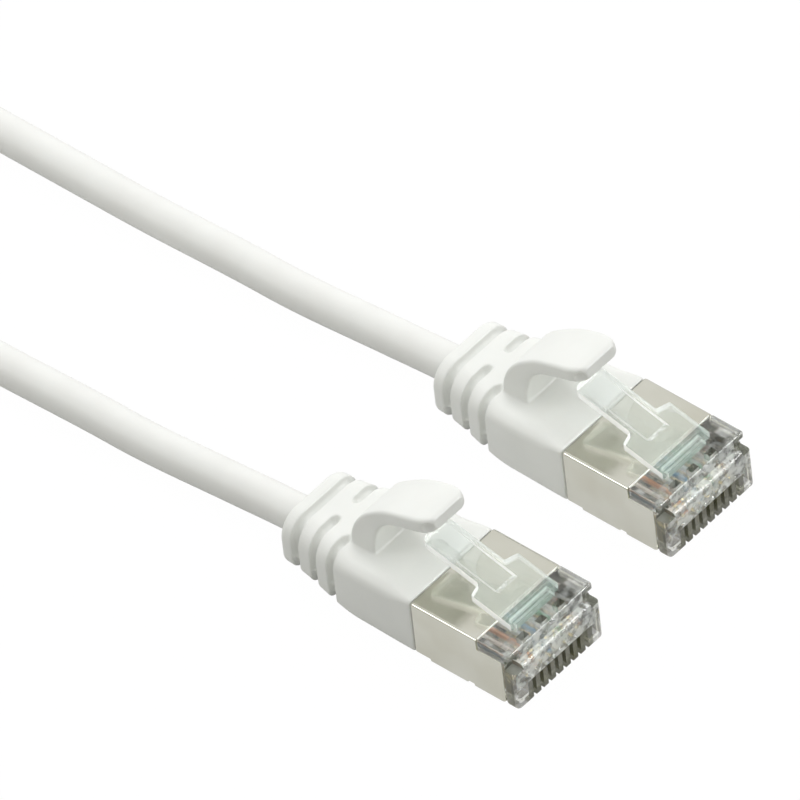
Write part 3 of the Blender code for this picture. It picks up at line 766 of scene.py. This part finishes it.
def latch_shape():
    """Sprung clip: a front root on the housing, a shoulder on each side, a raised tail."""
    places = []
    x = LATCH_FRONT_X
    while x > LATCH_TAIL_X:
        places.append(x)
        x -= LATCH_STEP
    places.append(LATCH_TAIL_X)
    rings = []
    for x in places:
        top, half = latch_top(x), latch_half(x)
        low = top - LATCH_T
        rings.append([(x, half, low), (x, half, top), (x, -half, top), (x, -half, low)])
    latch = loft("latch", rings)
    foot_x = (LATCH_FRONT_X - 0.9, LATCH_FRONT_X + 0.1)
    foot = block("foot", foot_x, (-LATCH_FOOT_HALF_W, LATCH_FOOT_HALF_W), LATCH_FOOT_Z)
    boolean(latch, (foot,), "UNION")
    narrow, wide = RELIEF_HALF_W
    relief = []
    for x, sink in RELIEF:
        floor, above = latch_top(x) - sink, latch_top(x) + BEYOND
        section = ((narrow, floor), (wide, above), (-wide, above), (-narrow, floor))
        relief.append([(x, y, z) for y, z in section])
    boolean(latch, (loft("relief", relief),), "DIFFERENCE")
    # The rounding's new faces take the painted glint of the edges.
    rounded(latch, LATCH_ROUND, 2, 32.0, LATCH_EDGE_GLINT)
    # Steep faces take the painted glint, the root's top and front painted shade, and the relief's
    # front ramp painted glare.
    for face in latch.data.polygons:
        faces_front = face.normal.x > 0.6
        plain = face.material_index == 0
        if abs(face.normal.z) < 0.6 and face.normal.x < 0.6:
            face.material_index = LATCH_EDGE_GLINT
        elif face.center.x > LATCH_ROOT_X and (plain or faces_front):
            face.material_index = LATCH_ROOT_SHADE
        elif face.normal.x < -0.2 and face.normal.z > 0.6:
            face.material_index = LATCH_GLARE
    return latch


# ---- shield ----------------------------------------------------------------------------


def shield_shape():
    """Stamped shell with folded edges, side wings, bottom notches, tail and crimp collar."""
    inner = HALF_W - SHEET
    inside_x = (SHIELD_REAR_X + SHEET, BEYOND)
    shell = block("shell", (SHIELD_REAR_X, WING_FRONT_X), (-HALF_W, HALF_W), (0.0, PLUG_H))
    rounded(shell, SHELL_ROUND, 3)
    hollow = block("hollow", inside_x, (-inner, inner), (SHEET, PLUG_H - SHEET), 0.1)
    above_wings = (NOSE_STEP_Z + WING_TOP_GAP, ABOVE_Z)
    top_cut = block("top_cut", (TOP_FRONT_X, BEYOND), (-SIDE_CUT_Y, SIDE_CUT_Y), above_wings)
    opening_y = (-OPENING_HALF_W, OPENING_HALF_W)
    slots_cut = block("slots_cut", (OPENING_X, BEYOND), opening_y, (-BEYOND, BEYOND))
    notches = []
    for side in SIDES:
        for along in NOTCHES_X:
            across = sorted((side * (HALF_W - NOTCH_DEPTH), side * SIDE_CUT_Y))
            notches.append(block("notch", along, across, (-BEYOND, NOTCH_TOP_Z)))
    boolean(shell, (hollow, top_cut, slots_cut, *notches), "DIFFERENCE")
    tail_low, tail_high = TAIL_Z
    tail_x = (TAIL_REAR_X, SHIELD_REAR_X + 0.1)
    tail = block("tail", tail_x, (-TAIL_HALF_W, TAIL_HALF_W), TAIL_Z)
    collar = tube("collar", [(x, 0.0, CABLE_Z) for x in COLLAR_X], JACKET_R + COLLAR_OUTER)
    boolean(shell, (tail, collar), "UNION")
    tail_hollow = block(
        "tail_hollow",
        (TAIL_REAR_X + SHEET, SHIELD_REAR_X + 0.6),
        (-TAIL_HALF_W + SHEET, TAIL_HALF_W - SHEET),
        (tail_low + SHEET, tail_high - SHEET),
    )
    collar_line = [(x, 0.0, CABLE_Z) for x in COLLAR_CUT_X]
    collar_hollow = tube("collar_hollow", collar_line, JACKET_R + COLLAR_INNER)
    boolean(shell, (tail_hollow, collar_hollow), "DIFFERENCE")
    rounded(shell, SHEET_ROUND, 2, 40.0)
    for side in SIDES:
        split(shell, (0.0, side * (HALF_W - BEND_W), 0.0), (0.0, 1.0, 0.0))
    # The front cut edge of the top plate gets a painted glint, pale and glowing; the inner faces
    # of the sides get painted shade.
    for face in shell.data.polygons:
        high = face.center.z > NOSE_STEP_Z + SHEET
        near_side = abs(face.center.y) > HALF_W - 2.0 * SHEET
        if face.normal.x > 0.5 and high and abs(face.center.y) < HALF_W - BEND_W:
            face.material_index = SHIELD_EDGE_GLINT
        elif near_side and face.normal.y * face.center.y < 0.0:
            face.material_index = SHIELD_INSIDE_SHADE
    return shell


# ---- housing ---------------------------------------------------------------------------


def way_y(way):
    """The place across the plug of a contact, counted from one."""
    return (way - (WAYS + 1) / 2.0) * WAY_PITCH


def way_slot(y):
    """A contact slot whose mouth widens, so that the ribs beside it end round."""
    radius = (WAY_PITCH - SLOT_W) / 2.0 - 0.01
    side = [(SLOT_W / 2.0 + radius, -BEYOND)]
    for i in range(SLOT_MOUTH_STEPS + 1):
        a = math.radians(90.0 / SLOT_MOUTH_STEPS * i)
        side.append((SLOT_W / 2.0 + radius * (1.0 - math.sin(a)), radius * (1.0 - math.cos(a))))
    side.append((SLOT_W / 2.0, SLOT_TOP_Z))
    section = side + [(-half, z) for half, z in reversed(side)]
    ends = (SLOT_REAR_X, BEYOND)
    return loft("slot", [[(x, y + half, z) for half, z in section] for x in ends])


def paint(obj, slot, x, y, z):
    """Gives a material slot to the faces whose middle lies between the given values."""
    for face in obj.data.polygons:
        spans = zip(face.center, (x, y, z))
        if all(low < place < high for place, (low, high) in spans):
            face.material_index = slot


def housing_shape():
    """Clear body: stepped nose, ribbed contact slots, wire cavity, pockets and notches."""
    half = HALF_W - SHEET - BODY_GAP
    full = (-HALF_W, HALF_W)
    crown_x = (TOP_FRONT_X + 0.08, NOSE_STEP_X)
    crown_z = (NOSE_STEP_Z + CROWN_GAP, PLUG_H)
    nose_x = (WING_FRONT_X + 0.06, 0.0)
    neck_z = (0.45, NOSE_STEP_Z - 0.2)
    root_x = (TOP_FRONT_X + 0.4, NOSE_STEP_X - 0.02)
    body = block("body", (-12.0, WING_FRONT_X - 0.2), (-half, half), BODY_Z, 0.1)
    nose = block("nose", nose_x, full, (0.0, NOSE_STEP_Z), NOSE_ROUND, 4)
    neck = block("neck", (-3.0, -1.0), (-half + 0.1, half - 0.1), neck_z)
    crown = block("crown", crown_x, full, crown_z, CROWN_ROUND, 3)
    root = block("root", root_x, (-RIBS_HALF_W, RIBS_HALF_W), (4.0, PLUG_H - 0.3))
    boolean(body, (neck, nose, root, crown), "UNION")
    cutters = [way_slot(way_y(way)) for way in range(1, WAYS + 1)]
    cutters.append(block("comb", *COMB))
    cutters.append(block("cavity", *WIRE_CAVITY))
    for y in POCKETS_Y:
        across = (y - POCKET_HALF_W, y + POCKET_HALF_W)
        cutters.append(block("pocket", POCKET_X, across, (POCKET_FLOOR_Z, ABOVE_Z)))
    for side in SIDES:
        across = sorted((side * CORNER_CUT_Y, side * SIDE_CUT_Y))
        cutters.append(block("notch", (CORNER_CUT_X, 0.5), across, CORNER_CUT_Z))
    boolean(body, cutters, "DIFFERENCE")
    # The rounding's new faces take the painted glint of the edges.
    rounded(body, HOUSING_ROUND, 2, 40.0, HOUSING_EDGE_GLINT)
    split(body, (0.0, 0.0, SLOT_TOP_Z), (0.0, 0.0, 1.0))
    for x in (RIB_REAR_X, PATCHY_REAR_X):
        split(body, (x, 0.0, 0.0), (1.0, 0.0, 0.0))
    for y in (-RIBS_HALF_W, RIBS_HALF_W):
        split(body, (0.0, y, 0.0), (0.0, 1.0, 0.0))
    paint_housing(body)
    return body


def paint_housing(body):
    """Painted shade on the ribs and nose sides, darker painted shade in the recesses, milky
    painted glare on the front faces and painted sheen on the crown's top.
    """
    full, ribs = (-HALF_W, HALF_W), (-RIBS_HALF_W, RIBS_HALF_W)
    low, high = NOSE_STEP_Z + 0.1, PLUG_H - 0.1
    top = (PLUG_H - PAINT_REACH, PLUG_H + PAINT_REACH)
    paint(body, HOUSING_SHADE, (RIB_REAR_X, 0.1), ribs, (-0.1, SLOT_TOP_Z))
    crown_front_x = (NOSE_STEP_X - 0.2, NOSE_STEP_X + 0.01)
    paint(body, HOUSING_GLARE, crown_front_x, ribs, (low, PLUG_H))
    paint(body, HOUSING_GLARE, (-0.1, 0.1), full, (SLOT_TOP_Z, NOSE_STEP_Z))
    paint(body, HOUSING_GLARE, (NOSE_STEP_X, 0.0), full, (NOSE_STEP_Z - 0.3, NOSE_STEP_Z + 0.1))
    paint(body, HOUSING_SHEEN, (PATCHY_REAR_X, 0.0), full, top)
    pocket_x = (POCKET_X[0] - PAINT_REACH, POCKET_X[1] + PAINT_REACH)
    reach = POCKET_HALF_W + PAINT_REACH
    for y in POCKETS_Y:
        paint(body, HOUSING_DEEP_SHADE, pocket_x, (y - reach, y + reach), (low, high))
    for side in SIDES:
        across = sorted((side * (CORNER_CUT_Y - PAINT_REACH), side * (HALF_W - PAINT_REACH)))
        paint(body, HOUSING_DEEP_SHADE, (CORNER_CUT_X - PAINT_REACH, -0.1), across, (4.5, 5.95))
        across = sorted((side * (HALF_W - 0.1), side * (HALF_W + 0.1)))
        paint(body, HOUSING_SHADE, (WING_FRONT_X, -0.4), across, (0.3, NOSE_STEP_Z))


# ---- cable -----------------------------------------------------------------------------


def arc_points(centre, radius, start, sweep, steps):
    """Points of a flat arc at the cable's resting height, without its first."""
    x, y = centre
    points = []
    for i in range(1, steps + 1):
        a = start + sweep * i / steps
        points.append((x + radius * math.cos(a), y + radius * math.sin(a), JACKET_R))
    return points


def leg_world(nose, first, last):
    """Cable points of one leg in frame millimetres."""
    shift = nose / MM
    return [(shift.x + x, shift.y + y, z) for x, y, z in cable_path(first, last, CABLE_STEP)]


def loop_world(noses):
    """Middle line of the rear loop, from behind leg A's swing joint round to leg B's."""
    pitch = (noses[1].y - noses[0].y) / MM / 2.0
    flare = math.acos((pitch + FLARE_R) / (LOOP_R + FLARE_R))
    rear = CAD_BOX[0].x / MM + JACKET_R + LOOP_R
    flare_x = rear + (LOOP_R + FLARE_R) * math.sin(flare)
    quarter = math.pi / 2.0
    points = []
    points += arc_points((flare_x, -pitch - FLARE_R), FLARE_R, quarter, flare, 14)
    points += arc_points((rear, 0.0), LOOP_R, flare - quarter, -math.pi - 2.0 * flare, 90)
    points += arc_points((flare_x, pitch + FLARE_R), FLARE_R, -quarter - flare, flare, 14)
    first = (flare_x, -pitch, JACKET_R)
    return [first, *points], flare_x


def cable_piece(name, points, finish):
    """A stretch of jacket along points of the frame, in millimetres."""
    return finished(tube(name, points, JACKET_R), name, Vector(), (finish,), 60.0)


# ---- assembly --------------------------------------------------------------------------


def point_at(nose, x, y=0.0, z=0.0):
    """A plug's point, given in its own millimetres, in the frame."""
    return nose + Vector((x, y, z)) * MM


def copy_of(obj):
    made = obj.copy()
    made.data = obj.data.copy()
    SCRATCH.objects.link(made)
    return made


def coat(node, finish):
    """Gives a node of the frame one finish all over."""
    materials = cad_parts[node].data.materials
    materials.clear()
    materials.append(finish)


def clear_finishes():
    """The finishes of the housing and of the latch, in the order of their material slots."""
    clear = clear_plastic("clear_plug", (0.90, 0.91, 0.87), roughness=0.02, haze=0.07, cover=0.75)
    # Painted glint for rounded edges: milky, pale and glowing.
    edge = clear_plastic("clear_edge_painted_glint", (0.95, 0.97, 0.96), 0.12, haze=0.8, cover=0.75, glow=0.1)
    # Painted shade: dark olive for the ribs and the nose's sides.
    rib_shade = clear_plastic("clear_painted_shade", (0.09, 0.09, 0.03), 0.05, haze=0.45, cover=0.94)
    # Painted shade, darker still, for the pockets and corner notches.
    recess = clear_plastic("clear_recess_painted_shade", (0.10, 0.11, 0.07), 0.05, haze=0.6, cover=0.95)
    # Painted glare: milky patches on front faces and the latch's ramp, where light is caught.
    glare = clear_plastic("clear_painted_glare", (0.85, 0.89, 0.86), 0.14, 0.75, 0.8, patchy=True)
    # Painted sheen: milky patches on the crown's top near the nose.
    sheen = clear_plastic("clear_painted_sheen", (0.80, 0.84, 0.81), 0.1, 0.4, 0.6, patchy=True)
    latch = clear_plastic("clear_latch", (0.84, 0.92, 0.89), 0.015, haze=0.08, cover=0.5)
    # Painted glint for the latch's edges and steep faces: white and glowing.
    latch_edge_painted_glint = clear_plastic("latch_edge_painted_glint", (0.98, 0.99, 0.98), 0.05, 0.8, 0.92, glow=0.18)
    # Painted shade: dark teal for the latch's root, over the dark housing beneath.
    root = clear_plastic("latch_root_painted_shade", (0.40, 0.55, 0.48), 0.03, haze=0.2, cover=0.7)
    return (clear, edge, rib_shade, recess, glare, sheen), (latch, latch_edge_painted_glint, root, glare)


def shield_finishes():
    """The finishes of the shield, in the order of its material slots."""
    sheet = nickel_sheet("nickel_shell", (0.605, 0.595, 0.515), (0.66, 0.655, 0.585), 0.13)
    # Painted glint: pale, glowing nickel for the cut front edge.
    edge = nickel_sheet("sheet_edge_painted_glint", (0.90, 0.89, 0.80), (0.97, 0.96, 0.88), 0.3, glow=0.45)
    # Painted shade: dark nickel for the inner faces of the sides.
    inside = nickel_sheet("inner_face_painted_shade", (0.17, 0.17, 0.12), (0.26, 0.26, 0.19), 0.3)
    return sheet, edge, inside


def wire_finishes():
    """The finish of each way's wire, contact one first."""
    made = {}
    for name, rgb in WIRE_COLOURS.items():
        pale = tuple(lerp(0.9, part, 0.25) for part in rgb)
        dark = tuple(part * 0.8 for part in rgb)
        made[name, False] = insulation("wire_" + name, rgb, dark)
        made[name, True] = insulation("wire_white_" + name, pale, STRIPED_PALE)
    return [made[key] for key in zip(WIRE_ORDER, WIRE_STRIPED)]


def main():
    white = moulded_white("white_boot", (0.83, 0.84, 0.815), (0.80, 0.81, 0.785), 0.42, 6.0)
    jacket = moulded_white("white_jacket", (0.83, 0.835, 0.815), (0.80, 0.80, 0.78), 0.48, 9.0)
    guide = moulded_white("guide_plastic", (0.80, 0.82, 0.82), (0.74, 0.76, 0.76), 0.4, 4.0)
    nickel = shield_finishes()
    housing_clear, latch_clear = clear_finishes()
    gold, screen, wires = gold_plate(), foil(), wire_finishes()
    masters = (boot_shape(), latch_shape(), shield_shape(), housing_shape())
    boot_master, latch_master, shield_master, housing_master = masters
    noses = [nose_place(tag) for tag in TAGS]
    for tag, nose in zip(TAGS, noses):
        plug, leg = "plug" + tag, "leg" + tag
        boot = finished(copy_of(boot_master), "moulded_boot" + tag, nose, (white,), 80.0)
        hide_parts("boot" + tag, "boot_tab" + tag)
        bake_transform(boot)
        latch = finished(copy_of(latch_master), "clear_latch" + tag, nose, latch_clear)
        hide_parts("latch" + tag)
        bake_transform(latch)
        shield = finished(copy_of(shield_master), "nickel_shield" + tag, nose, nickel)
        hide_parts("shield" + tag)
        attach(shield, plug)
        housing = finished(copy_of(housing_master), "clear_housing" + tag, nose, housing_clear)
        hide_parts("housing" + tag)
        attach(housing, plug)

        front = leg_world(nose, CORE_FRONT_X, LEG_JOIN_X)
        piece = cable_piece("jacket_front" + tag, front, jacket)
        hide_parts("jacket_end" + tag)
        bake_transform(piece)
        for way, wire in enumerate(wires, 1):
            coat(f"contact_{way}{tag}", gold)
            coat(f"wire_{way}{tag}", wire)
        for node, finish in (("load_bar", guide), ("core_end", screen), ("core_leg", screen)):
            coat(node + tag, finish)

    loop, flare_x = loop_world(noses)
    for tag, nose in zip(TAGS, noses):
        rear = leg_world(nose, LEG_JOIN_X, flare_x - nose.x / MM)
        piece = cable_piece("jacket_rear" + tag, rear, jacket)
        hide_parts("jacket_leg" + tag)
        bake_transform(piece)
    piece = cable_piece("jacket_bend", loop, jacket)
    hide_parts("jacket_loop")
    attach(piece, "cable_loop")
    coat("core_loop", screen)
    for master in masters:
        bpy.data.objects.remove(master, do_unlink=True)
    return noses


# ---- stage -----------------------------------------------------------------------------


def floor_finish():
    """White board, seen by the camera as plain bright white with a faint contact shade."""
    made = Finish("white_floor")
    tone = made.ramp(made.noise(0.01, 1.0), ((0.3, (0.42, 0.42, 0.41)), (0.7, (0.44, 0.44, 0.43))))
    made.feed(tone, "Base Color")
    made.set(Roughness=0.9)
    glow = made.tree.nodes.new("ShaderNodeEmission")
    glow.inputs["Color"].default_value = (1.0, 1.0, 1.0, 1.0)
    glow.inputs["Strength"].default_value = FLOOR_GLOW
    path = made.tree.nodes.new("ShaderNodeLightPath")
    share = made.tree.nodes.new("ShaderNodeMath")
    share.operation = "MULTIPLY_ADD"
    share.inputs[1].default_value = -FLOOR_GLOW_MIRRORED
    share.inputs[2].default_value = FLOOR_GLOW_MIRRORED
    made.tree.links.new(path.outputs["Is Diffuse Ray"], share.inputs[0])
    direct = made.tree.nodes.new("ShaderNodeMath")
    direct.operation = "MULTIPLY_ADD"
    direct.use_clamp = True
    direct.inputs[1].default_value = FLOOR_GLOW_SEEN - FLOOR_GLOW_MIRRORED
    made.tree.links.new(path.outputs["Is Camera Ray"], direct.inputs[0])
    made.tree.links.new(share.outputs["Value"], direct.inputs[2])
    mix = made.tree.nodes.new("ShaderNodeMixShader")
    made.tree.links.new(direct.outputs["Value"], mix.inputs["Fac"])
    made.tree.links.new(made.shader.outputs["BSDF"], mix.inputs[1])
    made.tree.links.new(glow.outputs["Emission"], mix.inputs[2])
    made.tree.links.new(mix.outputs["Shader"], made.output.inputs["Surface"])
    return made.material


def stage():
    """A wide white floor just under the part."""
    bm = bmesh.new()
    bmesh.ops.create_grid(bm, x_segments=1, y_segments=1, size=FLOOR_HALF)
    floor = solid("floor", bm)
    SCRATCH.objects.unlink(floor)
    bpy.context.scene.collection.objects.link(floor)
    floor.location.z = FLOOR_Z
    floor.data.materials.append(floor_finish())


def area_light(name, place, target, size, power):
    """A square lamp aimed at the target."""
    light = bpy.data.lights.new(name, "AREA")
    light.shape = "SQUARE"
    light.size = size
    light.energy = power
    obj = bpy.data.objects.new(name, light)
    obj.location = place
    aim = Vector(target) - Vector(place)
    obj.rotation_euler = aim.to_track_quat("-Z", "Y").to_euler()
    bpy.context.scene.collection.objects.link(obj)
    return obj


def lights(target):
    """White surroundings for the camera, shaded ones for all other rays, and the lamps."""
    world = bpy.data.worlds.new("studio")
    world.use_nodes = True
    bpy.context.scene.world = world
    tree = world.node_tree
    background = tree.nodes["Background"]
    coords = tree.nodes.new("ShaderNodeTexCoord")
    toward = tree.nodes.new("ShaderNodeVectorMath")
    toward.operation = "DOT_PRODUCT"
    toward.inputs[1].default_value = Vector(SKY_AXIS).normalized()
    place = tree.nodes.new("ShaderNodeMapRange")
    place.inputs["From Min"].default_value = -1.0
    ramp = tree.nodes.new("ShaderNodeValToRGB")
    ramp.color_ramp.interpolation = "EASE"
    for element, spot, colour in zip(ramp.color_ramp.elements, SKY_SPAN, (SKY_DARK, SKY_BRIGHT)):
        element.position = spot
        element.color = (*colour, 1.0)
    tree.links.new(coords.outputs["Generated"], toward.inputs[0])
    tree.links.new(toward.outputs["Value"], place.inputs["Value"])
    tree.links.new(place.outputs["Result"], ramp.inputs["Fac"])
    path = tree.nodes.new("ShaderNodeLightPath")
    mix = tree.nodes.new("ShaderNodeMix")
    mix.data_type = "RGBA"
    tree.links.new(path.outputs["Is Camera Ray"], mix.inputs["Factor"])
    tree.links.new(ramp.outputs["Color"], mix.inputs["A"])
    mix.inputs["B"].default_value = (1.0, 1.0, 1.0, 1.0)
    tree.links.new(mix.outputs["Result"], background.inputs["Color"])
    for name, way, size, power in SOFT_LAMPS:
        lamp = area_light(name, target + Vector(way), target, size, power)
        lamp.visible_glossy = False
        lamp.visible_transmission = False
    for name, way, size, power in GLINTS:
        lamp = area_light(name, target + Vector(way) * GLINT_DISTANCE, target, size, power)
        lamp.visible_diffuse = False


def camera(nose):
    """A long lens, so that the picture is nearly free of perspective."""
    a, e, r = VIEW_AZIMUTH, VIEW_ELEVATION, VIEW_ROLL
    back = Vector((math.cos(e) * math.sin(a), -math.cos(e) * math.cos(a), math.sin(e)))
    level = Vector((math.cos(a), math.sin(a), 0.0))
    upright = back.cross(level)
    up = upright * math.cos(r) + level * math.sin(r)
    right = level * math.cos(r) - upright * math.sin(r)
    data = bpy.data.cameras.new("camera")
    data.sensor_width = SENSOR_WIDTH
    data.lens = data.sensor_width * VIEW_DISTANCE / VIEW_WIDTH
    data.clip_start, data.clip_end = CLIP_RANGE
    obj = bpy.data.objects.new("camera", data)
    bpy.context.scene.collection.objects.link(obj)
    place = point_at(nose, *VIEW_TARGET) + back * VIEW_DISTANCE * MM
    turn = Matrix((right, up, back)).transposed().to_4x4()
    obj.matrix_world = Matrix.Translation(place) @ turn
    bpy.context.scene.camera = obj


NOSES = main()
stage()
lights(point_at(NOSES[0], *VIEW_TARGET))
camera(NOSES[0])
bpy.data.collections.remove(SCRATCH)
bpy.context.scene.view_settings.view_transform = "Standard"
